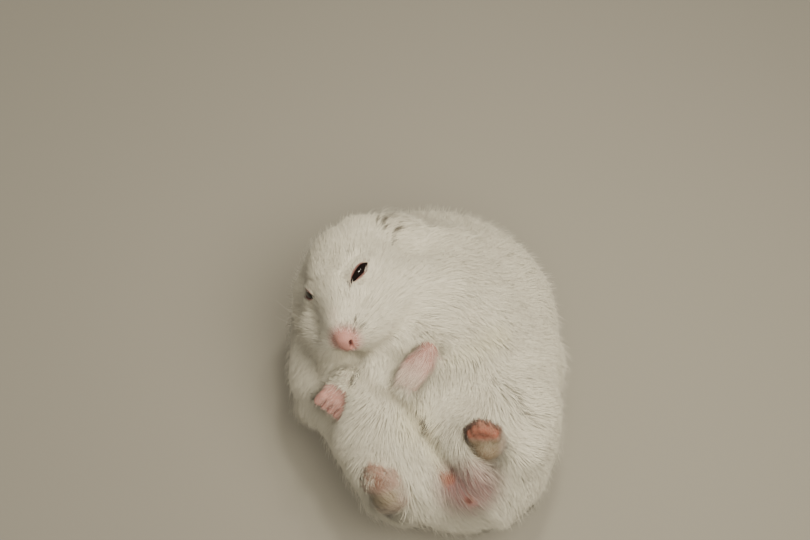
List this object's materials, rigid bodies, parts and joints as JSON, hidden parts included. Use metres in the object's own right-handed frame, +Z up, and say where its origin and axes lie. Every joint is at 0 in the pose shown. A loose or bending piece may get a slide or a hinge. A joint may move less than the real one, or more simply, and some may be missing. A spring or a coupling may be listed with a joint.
{
  "type": "dwarf hamster asleep on its back",
  "caption": "Life-size still model of a white winter dwarf hamster asleep on its back, curled, with its chin on its chest and its feet in the air.",
  "frame": {"origin": "on the resting flat under the middle of the back, level with the floor", "axes": "+Z up, out of the belly; +Y towards the nape and the crown of the head, so -Y is towards the rump; +X towards the animal's left flank"},
  "size_m": [0.0574, 0.071, 0.0402],
  "materials": {
    "coat": "soft white fur with a faint yellow tinge and a few dark grey hairs",
    "ear": "thin skin under short grey and white hair",
    "skin": "soft pink skin with sparse white hair",
    "eye": "wet black, glossy"
  },
  "bodies": {
    "root": {"trunk": "coat", "neck": "coat", "head": "coat", "foreleg_left": "coat", "foreleg_right": "coat", "hindleg_left": "coat", "hindleg_right": "coat", "tail": "coat", "ear_left": "ear", "ear_right": "ear", "nose": "skin", "forepaw_left": "skin", "forepaw_right": "skin", "hindfoot_left": "skin", "hindfoot_right": "skin", "eye_left": "eye", "eye_right": "eye"}
  },
  "joints": []
}
